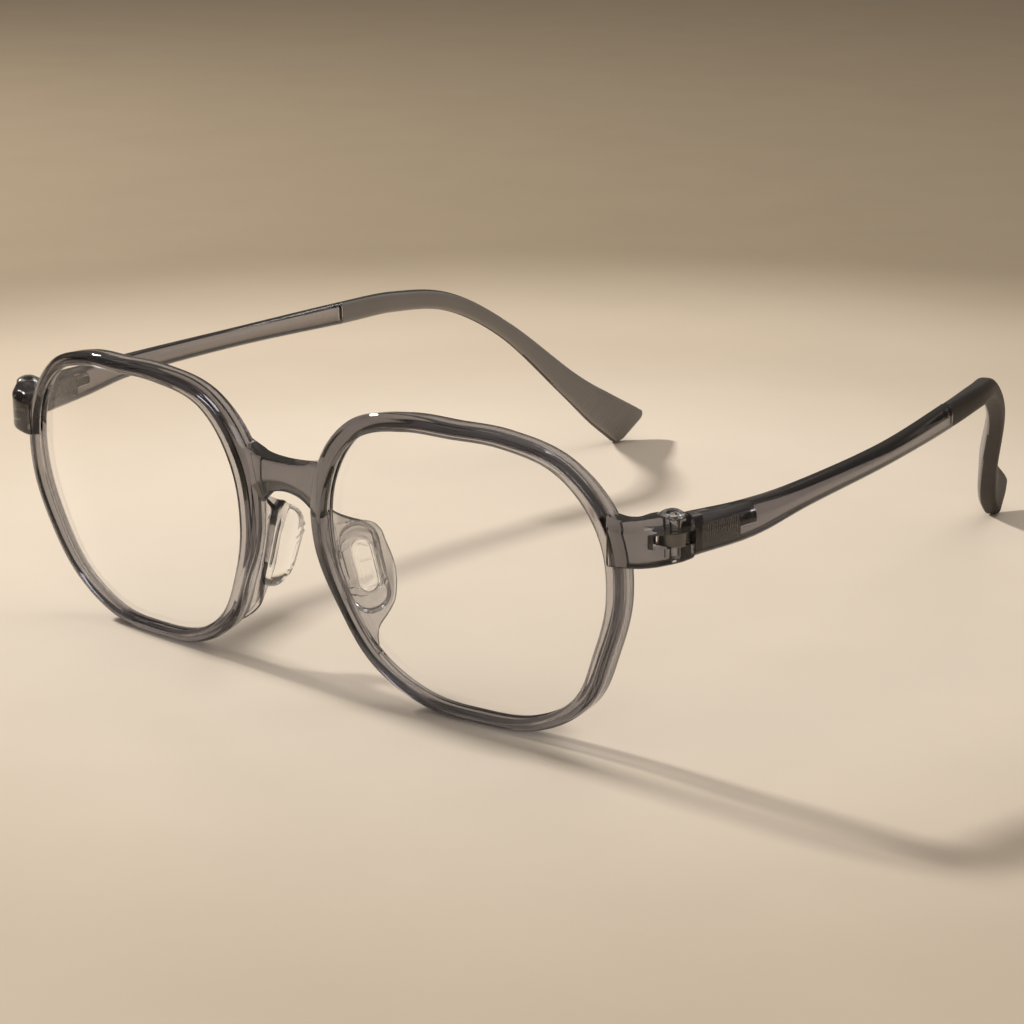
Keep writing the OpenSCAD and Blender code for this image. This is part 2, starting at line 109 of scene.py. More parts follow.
# Every 22.5 degrees: how far the rim reaches outside the lens edge, at its front and at its rear,
# and how far its inner wall stands off that edge. The front face widens towards the nose.
RIM_FRONT = [2.1, 2.15, 2.1, 2.1, 2.0, 2.4, 3.0, 3.6, 3.15, 1.85, 2.1, 1.9, 1.7, 1.8, 1.95, 2.0]
RIM_REAR = [2.1, 2.1, 1.75, 1.85, 1.95, 2.0, 2.15, 2.7, 2.1, 1.75, 1.75, 1.75, 1.7, 1.85, 2.1, 2.2]
RIM_INNER = [-0.3, -0.2, -0.1, 0, 0, 0, 0, 0, 0, -0.1, -0.3, -0.45, -0.5, -0.45, -0.4, -0.35]
# How far the front face comes forward at the nose and at the hinge
FORWARD = 0.44
# Chamfers of the rim: outer and inner at the front, outer and inner at the rear
CUT_OUT, CUT_IN, CUT_BACK, CUT_BORE = 0.6, 0.5, 0.4, 0.35


def on_face(flat, t):
    """Flat points (across, up) at depth t behind the front face of the left lens, in mm."""
    x, z = flat[..., 0], flat[..., 1]
    y0 = BASE_R - np.sqrt(BASE_R ** 2 - x ** 2 - z ** 2) + t
    x1 = x * math.cos(WRAP) - y0 * math.sin(WRAP)
    y1 = x * math.sin(WRAP) + y0 * math.cos(WRAP)
    return np.stack([LENS_PITCH / 2 + x1, y1 * math.cos(TILT) - z * math.sin(TILT),
                     y1 * math.sin(TILT) + z * math.cos(TILT)], -1)


def rim_width(angle):
    """Width of the rim in the plain model, from which the other pieces of the front are placed."""
    return RIM_W + (RIM_TOP - RIM_W) * np.maximum(np.sin(np.radians(angle)), 0) ** 2


def rim_raw(angle, n, t):
    """A point of the rim before it is lifted on to the floor."""
    n = np.asarray(n, float)
    return on_face(lens_edge(angle) + n[..., None] * lens_outward(angle), np.asarray(t, float))


feet = np.arange(180, 361, 5)
LENS_Z = -min(rim_raw(feet, rim_width(feet), t)[:, 2].min() for t in (CUT_OUT, RIM_D - CUT_BACK))


def rim_point(angle, n, t):
    """A point n mm outside the lens edge and t mm behind the front face, standing on the floor."""
    return rim_raw(np.asarray(angle, float), n, t) + [0, 0, LENS_Z]


print("lens centres stand at", round(LENS_Z, 3), "mm")

# %% [markdown]
# Most pieces of a pair of glasses are bars whose section changes along the way. They are all made by one
# tool: a list of rings, joined to each other by faces. Rings given coarsely are first refined with the
# same smooth curve, and the corners of a section are rounded, because polished plastic has no sharp edge.

# %% Skins over rings of points
def as_piece(name, points, faces):
    """A new mesh object from points in mm."""
    mesh = bpy.data.meshes.new(name)
    mesh.from_pydata((np.asarray(points, float) * MM).tolist(), [], faces)
    mesh.validate()
    shape = bmesh.new()
    shape.from_mesh(mesh)
    bmesh.ops.recalc_face_normals(shape, faces=shape.faces)
    shape.to_mesh(mesh)
    shape.free()
    piece = bpy.data.objects.new(name, mesh)
    scene.collection.objects.link(piece)
    return piece


def skin(name, rings, closed=False):
    """Faces over a row of rings, as a hoop or with a flat face at each end."""
    rings = np.asarray(rings, float)
    n, m = rings.shape[:2]
    faces = []
    for i in range(n if closed else n - 1):
        p, q = i * m, (i + 1) % n * m
        faces += [(p + j, p + (j + 1) % m, q + (j + 1) % m, q + j) for j in range(m)]
    if not closed:
        faces += [tuple(range(m))[::-1], tuple(range((n - 1) * m, n * m))]
    return as_piece(name, rings.reshape(-1, 3), faces)


def refined(rows, steps):
    """Rows with a smooth curve through them, in so many steps from each to the next."""
    rows = np.asarray(rows, float)
    ends = np.concatenate([[2 * rows[0] - rows[1]], rows, [2 * rows[-1] - rows[-2]]])
    out = [cubic(ends[i], ends[i + 1], ends[i + 2], ends[i + 3], f / steps)
           for i in range(len(rows) - 1) for f in range(steps)]
    return np.array(out + [rows[-1]])


def eased(corners, radius, steps=4):
    """A closed section with each corner rounded by up to radius."""
    corners = np.asarray(corners, float)
    out = []
    for before, here, after in zip(np.roll(corners, 1, 0), corners, np.roll(corners, -1, 0)):
        a, b = before - here, after - here
        ra = min(radius, 0.45 * np.linalg.norm(a))
        rb = min(radius, 0.45 * np.linalg.norm(b))
        p, q = here + a / np.linalg.norm(a) * ra, here + b / np.linalg.norm(b) * rb
        for f in np.linspace(0, 1, steps):
            out.append((1 - f) ** 2 * p + 2 * f * (1 - f) * here + f ** 2 * q)
    return np.array(out)


print("a square with eased corners has", len(eased([[0, 0], [1, 0], [1, 1], [0, 1]], 0.2)), "points")

# %% [markdown]
# The rim is one section carried round the lens. Its front has a wide outer chamfer and a narrow inner one.
# These are the fine bright and dark bands that run round a polished rim. A groove in its inner wall
# holds the lens.

# %% A rim
GROOVE_FRONT = (RIM_D - LENS_T) / 2 - FIT
GROOVE_REAR = GROOVE_FRONT + LENS_T + 2 * FIT


def rim_section(angle):
    """The section of the rim at an angle: (out from the lens edge, back from the front face)."""
    front, rear, inner = (round_lens(v, angle) for v in (RIM_FRONT, RIM_REAR, RIM_INNER))
    t = -FORWARD * math.cos(math.radians(angle)) ** 4
    return [[inner + CUT_IN, t], [front - CUT_OUT, t], [front, t + CUT_OUT], [rear, RIM_D - CUT_BACK],
            [rear - CUT_BACK, RIM_D], [inner + CUT_BORE, RIM_D], [inner, RIM_D - CUT_BORE],
            [inner, GROOVE_REAR], [GROOVE_D, GROOVE_REAR], [GROOVE_D, GROOVE_FRONT],
            [inner, GROOVE_FRONT], [inner, t + CUT_IN]]


def mirrored(points):
    return np.asarray(points, float) * [-1, 1, 1]


def pair(name, rings, closed=False):
    """The skin over the rings for the left side, and its mirror image."""
    return [skin(name, rings, closed), skin(name, mirrored(rings), closed)]


angles = np.arange(0, 360, 1)
rims = pair("rim_part", [rim_point(a, *eased(rim_section(a), 0.18).T) for a in angles], closed=True)
print("a rim has", len(rims[0].data.vertices), "points")

# %% [markdown]
# The bridge is a short bar over the nose. Its section is tallest where it flows into the rims, and both
# ends reach into the wall of a rim, so that nothing can show a gap between them.

# %% The bridge
BRIDGE_H, BRIDGE_D, BRIDGE_UP = 4.5, 3.4, 11.9
# Its foot meets the rim at the first angle, and its top so many degrees further round
BRIDGE_FROM, BRIDGE_SPAN = 176, -29
# Where it grows out of the rim: (share of the depth, share of the height)
BRIDGE_ROOT = ((0.3, 0), (0.9, 0), (1, 0.1), (1, 0.4), (1, 0.93), (0.9, 1), (0.25, 0.86), (0, 0.78), (0, 0.4))
# Steps: share of the way to a rim, rise of the top, drop of the foot
BRIDGE_STEPS = [[0, 0.15, 0.45], [0.2, 0.17, 0.6], [0.4, 0.22, 1.0], [0.57, 0.32, 1.7], [0.72, 0.5, 2.6],
                [0.87, 0.85, 3.7]]
nasal = rim_point(168, RIM_W, 0.5)


def root_point(a, t):
    """A point inside the wall of the rim, where other pieces of the front begin."""
    return rim_point(a, float(rim_width(a)) - 0.5, min(max(t, 0.6), RIM_D - 0.6))


def bridge_ring(step, side):
    share, rise, sink = step
    top = LENS_Z + BRIDGE_UP + rise
    foot = LENS_Z + BRIDGE_UP - BRIDGE_H - sink
    front = nasal[1] - 0.9 + 0.6 * share ** 2
    rear = front + BRIDGE_D + 0.2 * share
    low = foot + 0.4 * (top - foot)
    section = [[front + 1.2, foot], [rear - 0.4, foot], [rear, foot + 0.5], [rear, low],
               [rear, top - 0.5], [rear - 0.4, top], [front + 0.3, top], [front, top - 0.3], [front, low]]
    return [[side * share * nasal[0], y, z] for y, z in section]


def bridge_end(side):
    return [root_point(BRIDGE_FROM + BRIDGE_SPAN * v, u * RIM_D) * [side, 1, 1] for u, v in BRIDGE_ROOT]


rows = [bridge_end(-1)] + [bridge_ring(s, -1) for s in BRIDGE_STEPS[:0:-1]]
rows += [bridge_ring(s, 1) for s in BRIDGE_STEPS] + [bridge_end(1)]
bridge = skin("bridge_part", [eased(ring, 0.35) for ring in refined(rows, 8)])
print("bridge rings:", len(rows), "given,", 8 * (len(rows) - 1) + 1, "made")

# %% [markdown]
# The end piece runs from the upper corner of a rim, turns the corner of the face, and ends in the barrel
# that the hinge pin goes through. In plan it is swept along a smooth path of steps.

# %% The end pieces
HINGE_OUT, HINGE_UP, HINGE_BACK = 6.75, 10.0, 4.2
END_H, END_T = 6.2, 3.8
root_mid = rim_point(24, RIM_W / 2, RIM_D / 2)
HX = LENS_PITCH / 2 + LENS_W / 2 + HINGE_OUT
HY = root_mid[1] + HINGE_BACK
HZ = LENS_Z + HINGE_UP
END_FACE, END_TOP, END_FOOT = HY + 2, HZ + END_H / 2, HZ - END_H / 2
# Steps: x from the pin, share of the way back to the pin, rise of the top and of the foot
END_STEPS = [[-7, -0.04, -0.2, -1.1], [-5.6, 0, -0.4, -1.1], [-4.4, 0.05, -0.37, -1],
             [-2.9, 0.15, -0.12, -0.85], [-1.6, 0.37, 0.25, -0.68], [-0.5, 0.72, 0.4, -0.48],
             [0.2, 1.05, 0.4, -0.35], [0.5, 1.35, 0.35, -0.25]]
# The same for the place where it grows out of the rim
END_FROM, END_SPAN = 6, 23
END_ROOT = ((0.1, 0), (0, 0.08), (0, 0.5), (0, 0.82), (0.2, 1), (0.9, 1), (1, 0.93), (1, 0.5), (1, 0.08),
            (0.9, 0))


def along(steps, q):
    """The values at q steps along a smooth path through the given steps."""
    steps = np.asarray(steps, float)
    i = int(min(max(math.floor(q), 0), len(steps) - 2))
    a = steps[i - 1] if i > 0 else 2 * steps[0] - steps[1]
    d = steps[i + 2] if i < len(steps) - 2 else 2 * steps[-1] - steps[-2]
    return cubic(a, steps[i], steps[i + 1], d, q - i)


def end_place(q):
    """The middle of the end piece in plan at q steps, with its top and its foot there."""
    s = along(END_STEPS, q)
    return np.array([HX + s[0], root_mid[1] + s[1] * (HY - root_mid[1]), END_TOP + s[2], END_FOOT + s[3]])


def end_section(h, top, foot, cut):
    return [[h - 0.35, foot], [h, foot + 0.35], [h, (top + foot) / 2], [h, top - 1.4], [h - 0.8, top],
            [0.3 - h + cut, top], [cut - h, top - 0.3], [cut - h, (top + foot) / 2],
            [cut - h, foot + 0.3], [0.3 - h + cut, foot]]


def end_ring(q):
    here, way = end_place(q), end_place(q + 0.05) - end_place(q - 0.05)
    out = np.array([way[1], -way[0]]) / math.hypot(way[0], way[1])
    return [[here[0] + s * out[0], here[1] + s * out[1], z]
            for s, z in end_section(END_T / 2, here[2], here[3], 0)]


def end_last(y, cut):
    """A ring of the flat rear face, with so much cut off its inner edge."""
    section = end_section(END_T / 2, END_TOP + 0.3 - 0.5 * cut, END_FOOT - 0.2, cut)
    return [[HX + 0.6 + s, y, z] for s, z in section]


first = [root_point(END_FROM + END_SPAN * v, u * RIM_D) for u, v in END_ROOT]
swept = [end_ring(q) for q in np.arange(0, 7.01, 0.25)]
rows = list(refined([first, swept[0]], 4)[:-1]) + swept
rows += [end_last(END_FACE - 0.4, 0), end_last(END_FACE, 0.35)]
end_pieces = pair("end_part", [eased(ring, 0.3) for ring in rows])
print("hinge pin at", np.round([HX, HY, HZ], 3), "mm before the origin is moved")

# %% [markdown]
# A nose plate grows from the rear of a rim, bends like a knee and ends as a thin wing with a slot for the
# pad. It is a skin over rows from its foot to its top. Its own frame has x to the rear, y up and n
# out of the side that faces away from the nose.

# %% The nose plates
PLATE_T, PLATE_EDGE = 1.2, 0.45
# It joins the rim at this angle, which turns by so many degrees for each mm up. Below FOOT_FROM
# its foot bends outwards.
PLATE_AT, PLATE_TURN, FOOT_FROM = 192, -2.45, -9.2
SPLAY, FRONTAL = math.radians(28), math.radians(14.2)
PLATE_X = np.array([math.sin(SPLAY), math.cos(SPLAY), 0])
PLATE_Y = np.array([-math.sin(FRONTAL) * math.cos(SPLAY), math.sin(FRONTAL) * math.sin(SPLAY),
                    math.cos(FRONTAL)])
PLATE_N = np.cross(PLATE_X, PLATE_Y)
PLATE_O = rim_point(PLATE_AT, RIM_W, RIM_D) + [1.3, 0.9, -0.1]
# Rows: height, reach to the rear, share by which the row is drawn into the wall of the rim
PLATE_ROWS = [[-15, 3.3, 1], [-14, 3.6, 0.7], [-13, 3.85, 0.34], [-11.8, 3.85, 0.1], [-10.6, 3.85, 0],
              [-9.3, 4.15, 0], [-8.4, 4.75, 0], [-7.2, 5.85, 0], [-5.6, 7, 0], [-4, 7.5, 0],
              [-2, 7.75, 0], [0, 7.7, 0], [2, 7.25, 0], [4, 6.6, 0], [5.4, 6.2, 0], [6.3, 5.65, 0],
              [6.9, 5.05, 0], [7.25, 4.4, 0.03], [7.5, 3.8, 0.1], [7.9, 3.25, 0.3],
              [8.6, 2.8, 0.66], [9.4, 2.6, 1]]
# The ring that a drawn-in row ends as: (depth inside the rim's outer wall, depth inside its rear face)
PLATE_ROOT = ((0.25, 0.6), (0.35, 0.5), (0.45, 0.4), (0.55, 0.35), (0.8, 0.35), (0.9, 0.4), (1, 0.5),
              (1.1, 0.6))


def plate_point(x, y, n):
    return PLATE_O + x * PLATE_X + y * PLATE_Y + n * PLATE_N


def plate_ring(height, rear, drawn):
    """One row round the plate, level at this height and reaching this far to the rear."""
    a = PLATE_AT + PLATE_TURN * height
    w = float(rim_width(a))
    knee = min(float((rim_point(a, w, RIM_D) - PLATE_O) @ PLATE_X) + 1.3, rear - 0.6)
    bend = 0.12 * max(0, FOOT_FROM - height) ** 1.75
    inner, outer, edge = bend - PLATE_T, bend, PLATE_EDGE
    wing = [(knee, inner), (rear - edge, inner), (rear, inner + edge),
            (rear, outer - edge), (rear - edge, outer), (knee, outer)]
    hidden = np.array([rim_point(a, w - n, RIM_D - t) for n, t in PLATE_ROOT])
    free = np.array([hidden[0]] + [plate_point(x, height, n) for x, n in wing] + [hidden[-1]])
    drawn = min(max(drawn, 0), 1)
    return (1 - drawn) * free + drawn * hidden


plates = pair("plate_part", [eased(plate_ring(*row), 0.3) for row in refined(PLATE_ROWS, 5)])
print("plate foot", np.round(plate_point(0, -14, 0), 2), "top", np.round(plate_point(0, 7.7, 0), 2))

# %% [markdown]
# Cutters and small shapes are upright bars over a round, oval or square section, each placed by a
# matrix. Such shapes sit at three places: a hinge, the line along which a temple slides, and a nose plate.

# %% Bars, boxes and the places they go
def moved(points, place):
    """Points moved by a 4x4 matrix in mm."""
    return points @ place[:3, :3].T + place[:3, 3]


def bar(name, section, low, high, place):
    """An upright bar over a closed section, moved by a 4x4 matrix in mm."""
    section = np.asarray(section, float)
    m = len(section)
    points = np.concatenate([np.column_stack([section, np.full(m, z)]) for z in (low, high)])
    sides = [(j, (j + 1) % m, m + (j + 1) % m, m + j) for j in range(m)]
    return as_piece(name, moved(points, place), sides + [tuple(range(m))[::-1], tuple(range(m, 2 * m))])


def round_section(r, count=48):
    a = np.linspace(0, 2 * math.pi, count, endpoint=False)
    return np.stack([r * np.cos(a), r * np.sin(a)], -1)


def leaned(flat, lean):
    """Flat points turned by lean degrees."""
    c, s = math.cos(math.radians(lean)), math.sin(math.radians(lean))
    return flat @ np.array([[c, s], [-s, c]])


def oval_section(length, width, middle=(0, 0), lean=0, count=48):
    """A flat-sided oval, turned by lean degrees about its middle."""
    p = round_section(width / 2, count)
    a = np.linspace(0, 2 * math.pi, count, endpoint=False)
    p[:, 1] += np.where(np.sin(a) >= 0, 1, -1) * (length - width) / 2
    return leaned(p, lean) + middle


def box_section(x0, x1, y0, y1):
    return [[x0, y0], [x1, y0], [x1, y1], [x0, y1]]


def placed(x, y, z, at):
    """The matrix that sets a shape at a point, with its own three axes along x, y and z."""
    m = np.eye(4)
    m[:3, 0], m[:3, 1], m[:3, 2], m[:3, 3] = x, y, z, at
    return m


AXIS_OUT = math.radians(11)
SLIDE = np.array([math.sin(AXIS_OUT), math.cos(AXIS_OUT), 0])
ACROSS = np.array([math.cos(AXIS_OUT), -math.sin(AXIS_OUT), 0])
UP = np.array([0.0, 0, 1])
PIN = np.array([HX, HY, HZ])
at_hinge = placed([1, 0, 0], [0, 1, 0], UP, PIN)
on_axis = placed(ACROSS, SLIDE, UP, PIN)
down_axis = placed(ACROSS, -UP, SLIDE, PIN)
on_plate = placed(PLATE_X, PLATE_Y, PLATE_N, PLATE_O)
print("the temples slide along", np.round(SLIDE, 4))

# %% [markdown]
# The front is one moulding, so its parts are joined by exact booleans into one closed skin. That keeps
# every face as smooth as it was swept, and clear plastic shows every ripple. Soft silicone has no crisp
# line at all, so the parts of a pad are melted instead: a voxel remesh makes one skin round them, and a
# little smoothing takes off the grain that it leaves.

# %% Join, melt and carve
def settle(piece):
    """Puts the effect of the modifiers into the mesh itself."""
    graph = bpy.context.evaluated_depsgraph_get()
    mesh = bpy.data.meshes.new_from_object(piece.evaluated_get(graph), depsgraph=graph)
    piece.modifiers.clear()
    old, piece.data = piece.data, mesh
    bpy.data.meshes.remove(old)
    return piece


def dropped(piece):
    """Takes a used piece and its mesh out of the scene."""
    mesh = piece.data
    bpy.data.objects.remove(piece)
    bpy.data.meshes.remove(mesh)


def melted(name, parts, voxel, rounds):
    """The parts as one closed skin, smoothed so many rounds."""
    whole = bmesh.new()
    for part in parts:
        whole.from_mesh(part.data)
        dropped(part)
    piece = as_piece(name, [], [])
    whole.to_mesh(piece.data)
    whole.free()
    melt = piece.modifiers.new("melt", "REMESH")
    melt.mode, melt.voxel_size, melt.use_smooth_shade = "VOXEL", voxel * MM, True
    calm = piece.modifiers.new("calm", "SMOOTH")
    calm.factor, calm.iterations = 0.5, rounds
    return settle(piece)


def combined(piece, others, operation):
    """The piece after an exact boolean with each of the others, which are used up."""
    for other in others:
        change = piece.modifiers.new("change", "BOOLEAN")
        change.operation, change.solver, change.object = operation, "MANIFOLD", other
        settle(piece)
        dropped(other)
    return piece


def carved(piece, cutters):
    """The piece with the cutters taken out of it."""
    return combined(piece, cutters, "DIFFERENCE")


def polished(piece, crease=35):
    """Smooth shading, kept crisp where faces meet at more than crease degrees."""
    piece.data.shade_smooth()
    piece.data.set_sharp_from_angle(angle=math.radians(crease))
    return piece


def united(name, parts):
    """The parts joined into one closed solid, with crisp lines where they meet."""
    parts[0].name = name
    return combined(parts[0], parts[1:], "UNION")


def mirror_of(piece):
    """The mirror image of a piece, for the other side of the pair."""
    faces = [tuple(f.vertices)[::-1] for f in piece.data.polygons]
    return as_piece(piece.name, mirrored([np.array(v.co) / MM for v in piece.data.vertices]), faces)


# The pin, the metal tongue and its knuckle round the pin, and the head of the pin
PIN_R, TONGUE_H, KNUCKLE_R, HEAD_R, HEAD_H = 0.7, 1.8, 2.1, 2.0, 0.85
ear = bar("ear_part", round_section(KNUCKLE_R - 0.1, 64), 0.15 - END_H / 2, END_H / 2 - 0.15, at_hinge)
front = united("front_moulding", rims + [bridge] + end_pieces + plates + [ear, mirror_of(ear)])
print("joined front:", len(front.data.vertices), "points")

# %% [markdown]
# The front is cut as a maker cuts it: a slot in each end piece for the metal tongue, a bore for each pin,
# and a slot in each plate for the neck of a pad.

# %% Cut the slots and bores
SLOT_HALF = TONGUE_H / 2 + 0.1
# Room for the knuckle, then for the bar as the temple swings from open to folded, in mm from the pin
SLOTS = (round_section(KNUCKLE_R + 0.3, 64), box_section(-1.3, END_T + 0.7, -4.1, 3.9),
         box_section(-4.2, 0, -1.75, 3.25))
# The neck of a pad: length, width, place on the plate, and lean in degrees
NECK_L, NECK_W, NECK_MID, NECK_LEAN = 8.0, 3.1, [2.85, 0.6], 8.5
cutters = [bar("slot_cut", section, -SLOT_HALF, SLOT_HALF, at_hinge) for section in SLOTS]
cutters.append(bar("bore_cut", round_section(PIN_R + 0.02, 40), -END_H, END_H, at_hinge))
cutters.append(bar("bore_cut", round_section(HEAD_R + 0.06, 64), END_H / 2, END_H, at_hinge))
neck_slot = oval_section(NECK_L + 0.2, NECK_W + 0.2, NECK_MID, NECK_LEAN, 64)
cutters.append(bar("slot_cut", neck_slot, -PLATE_T - 1, 1, on_plate))
cutters += [mirror_of(cutter) for cutter in cutters]
polished(carved(front, cutters))
print("cut front:", len(front.data.vertices), "points,", len(front.data.polygons), "faces")

# %% [markdown]
# Everything so far was measured from the middle of the lenses. The plain model has its origin in the
# middle of its footprint, so each finished piece is moved by the same step to the rear.

# %% Move to the origin
def at_origin(piece):
    piece.data.transform(Matrix.Translation((0, -MID_Y * MM, 0)))
    return piece


def both_sides(name, make, crease):
    """The piece that make builds, for the left side and mirrored for the right, polished and in place."""
    pieces = {}
    for side, flip in SIDES:
        piece = make(name + side)
        if flip < 0:
            piece.data.transform(Matrix.Scale(-1, 4, (1, 0, 0)))
            piece.data.flip_normals()
        pieces[side] = at_origin(polished(piece, crease))
    return pieces


pin_low, pin_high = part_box("hinge_pin_left")
MID_Y = HY - (pin_low[1] + pin_high[1]) / 2 / MM
print("origin lies", round(MID_Y, 4), "mm behind the middle of the lenses")
at_origin(front)
low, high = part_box("front_frame")
places = np.array([v.co for v in front.data.vertices]) / MM
print("boxes of the front node and the front piece, mm:", [round(v / MM, 2) for v in (*low, *high)],
      np.round([*places.min(0), *places.max(0)], 2))

# %% [markdown]
# A lens is a thin bent disc with its edge in the groove. A fan of rings over its two faces gives smooth
# reflections, where a plain cut solid would show flat strips.

# %% The lenses
def lens_rings(count=144, rings=14):
    """Front face from its middle to the edge, then the rear face back to its middle."""
    angles = np.arange(count) * 360 / count
    edge = lens_edge(angles) + (GROOVE_D - FIT) * lens_outward(angles)
    front_t = GROOVE_FRONT + FIT
    shares = np.linspace(0.03, 1, rings)
    faces = [on_face(edge * s, front_t) for s in shares]
    faces += [on_face(edge * s, front_t + LENS_T) for s in shares[::-1]]
    return np.array(faces) + [0, 0, LENS_Z]


lens_pieces = both_sides("clear_lens_", lambda name: skin(name, lens_rings()), 50)
print("a lens has", len(lens_pieces["left"].data.polygons), "faces")

# %% [markdown]
# The route of a temple starts behind the end piece, runs nearly straight to the ear, bends down and ends
# in a flat paddle. The clear part and the rubber tip are two skins along the same route: the clear part
# ends in a tenon that the tip is pushed over. The outer face has a ridge where two planes meet.

# %% The route of a temple
BUTT = END_FACE + 0.4
# Stations: x from the pin, y behind the end piece, z from the hinge, height, thickness
ROUTE = [[0.5, 0, -0.2, END_H - 0.3, END_T], [2.9, 12.6, -0.28, 5.15, 3.4], [3.7, 26.6, 0.33, 3.75, 2.96],
         [2.8, 51.6, 0.58, 3.45, 2.6], [-0.1, 76.6, 0.93, 4.15, 2.5], [-2.3, 90.6, 1.1, 3.8, 3.2],
         [-6.1, 102.6, -0.6, 3.5, 3.4], [-10.7, 115, -8, 3.3, 3.2],
         [-17.5, 126.5, -20, 5, 3.3], [-20.9, 133.7, -26.5, 7.3, 3.4],
         [-22.6, 140.4, -31.15, 8.7, 3.1]]
# The end is cut slantwise: its upper corner reaches further back, in mm per mm of height
END_SLANT = 0.35
# The stations where the tip begins and where the tenon ends, and the step between its rings
SEAM, TENON, TENON_STEP = 4.0, 5.7, 0.17


def route_point(q):
    return along(ROUTE, q)[:3] + [HX, BUTT, HZ]


def route_size(q):
    """Half the thickness and half the height."""
    return along(ROUTE, q)[:2:-1] / 2


def route_frame(q):
    """The way along the route at q, the side that faces out, and up."""
    way = route_point(q + 0.05) - route_point(q - 0.05)
    way /= np.linalg.norm(way)
    side = np.array([way[1], -way[0], 0]) / math.hypot(way[0], way[1])
    return way, side, np.cross(side, way)


def bar_section(t, h, c, lean):
    """A section 2 t thick and 2 h high. Its corners are cut by c, and its outer face leans in at the top."""
    return [[t - c, -h], [t, c - h], [t, 0.2 * h], [t - lean, h - c], [t - lean - c, h], [c - t, h],
            [-t, h - c], [-t, c - h], [c - t, -h]]


def route_ring(q, ahead, grow, c, lean, ease=0.3):
    """The section at q on the route, moved ahead and grown by so many mm."""
    way, side, up = route_frame(q)
    g = route_size(q) + grow
    o = route_point(q) + ahead * way
    section = eased(bar_section(*g, c, lean), ease)
    slant = END_SLANT * np.clip(q - 9, 0, 1) ** 2 * section[:, 1:]
    return o + section[:, :1] * side + section[:, 1:] * up + slant * way


print("the route ends at", np.round(route_point(10), 2), "mm")

# %% [markdown]
# Behind its front end the temple is hollow. A metal block sits in the mouth. Behind it lies a chamber with
# fine upright ribs, which the eye takes for the spring, and a round bore for the rod and the head. All of
# this shows through the clear plastic, so it is cut for real. The inner corner of the front end is cut
# off to let the temple fold.

# %% The clear temples
SEAT_W, SEAT_H = 2.4, END_H - 1.2
# Along the slide line from the pin: the butt of the temple, the rear of the seat, the spring, the end of
# the bore, and the chamber. Then the step and the depth of its ribs, and the cut at the corner of the butt.
FACE_S = (BUTT - HY) / math.cos(AXIS_OUT)
SEAT_REAR = FACE_S + 2.3
COIL_FROM = SEAT_REAR + 0.05
COIL_LEN, COIL_R, WIRE_D, COIL_TURNS = 8.4, 1.1, 0.3, 10
BORE_END = COIL_FROM + COIL_LEN + 2.45
CHAMBER_W, CHAMBER_FROM, CHAMBER_L, CHAMBER_LOW, CHAMBER_TOP = 2.6, SEAT_REAR - 0.2, 7.6, -2.1, 1.25
RIB_STEP, RIB_IN, CORNER = 0.36, 0.14, 1.15


def tenon_ring(q, gap):
    """A ring of the tenon, or of the socket round it for a gap above 0."""
    return route_ring(q, gap, gap - np.array([0.42, 0.4]) * route_size(q), 0.25, 0.1, 0.15)


def temple_rings():
    """The square butt, the clear part along the route, and the tenon at its end."""
    section = eased(bar_section(*route_size(0), 0.5, 0.3), 0.3)
    butt = route_point(0) + np.insert(section, 1, 0, axis=1)
    rings = [butt] + [route_ring(q, 0, 0, 0.5, 0.35) for q in np.arange(0.125, SEAM + 0.01, 0.125)]
    return rings + [tenon_ring(q, 0) for q in np.arange(SEAM, TENON + 0.02, TENON_STEP)]


def ribbed_section(half, start, end):
    """A long box with fine upright ribs down both of its sides."""
    count = 2 * int(round((end - start) / RIB_STEP))
    edge = [[half - RIB_IN * (i % 2), y] for i, y in enumerate(np.linspace(start, end, count + 1))]
    return edge + [[-x, y] for x, y in edge[::-1]]


def temple_cuts():
    """The seat pocket, the round bore, the ribbed chamber and the corner of the butt."""
    w, h = SEAT_W / 2 + 0.02, SEAT_H / 2 + 0.02
    ribs = ribbed_section(CHAMBER_W / 2, CHAMBER_FROM, CHAMBER_FROM + CHAMBER_L)
    c, s = math.cos(math.radians(135)), math.sin(math.radians(135))
    corner = placed([c, s, 0], [-s, c, 0], UP, [HX + 0.5 - END_T / 2 + CORNER, BUTT, HZ])
    return [bar("seat_cut", box_section(-w, w, FACE_S - 2, SEAT_REAR), -h, h, on_axis),
            bar("bore_cut", round_section(COIL_R + 0.08), 0, BORE_END, down_axis),
            bar("ribs_cut", ribs, CHAMBER_LOW, CHAMBER_TOP, on_axis),
            bar("corner_cut", box_section(0, 4, 0, 4), -END_H, END_H, corner)]


temples = both_sides("clear_temple_", lambda name: carved(skin(name, temple_rings()), temple_cuts()), 30)
print("a temple has", len(temples["left"].data.polygons), "faces")

# %% [markdown]
# The tips are soft rubber. Their inner faces carry fine slanting ribs that keep them from slipping off
# the ear. The ribs are real: the skin has enough rings for each rib, and the points of the inner face are
# pushed in along slanting lines that fade out towards the bend.

# %% The rubber tips
# The rounded end: how far behind the last ring, how much thinner and lower, corner, lean
TIP_END = [[0.6, -0.1, -0.3, 0.7, 0.2], [1, -0.4, -0.9, 0.5, 0.1]]
# Its ribs: pitch and depth in mm, slant in mm per mm of height, and the station where they begin
RIB_PITCH, RIB_DEPTH, RIB_SLANT, RIBS_FROM = 0.85, 0.18, 0.9, 7.6


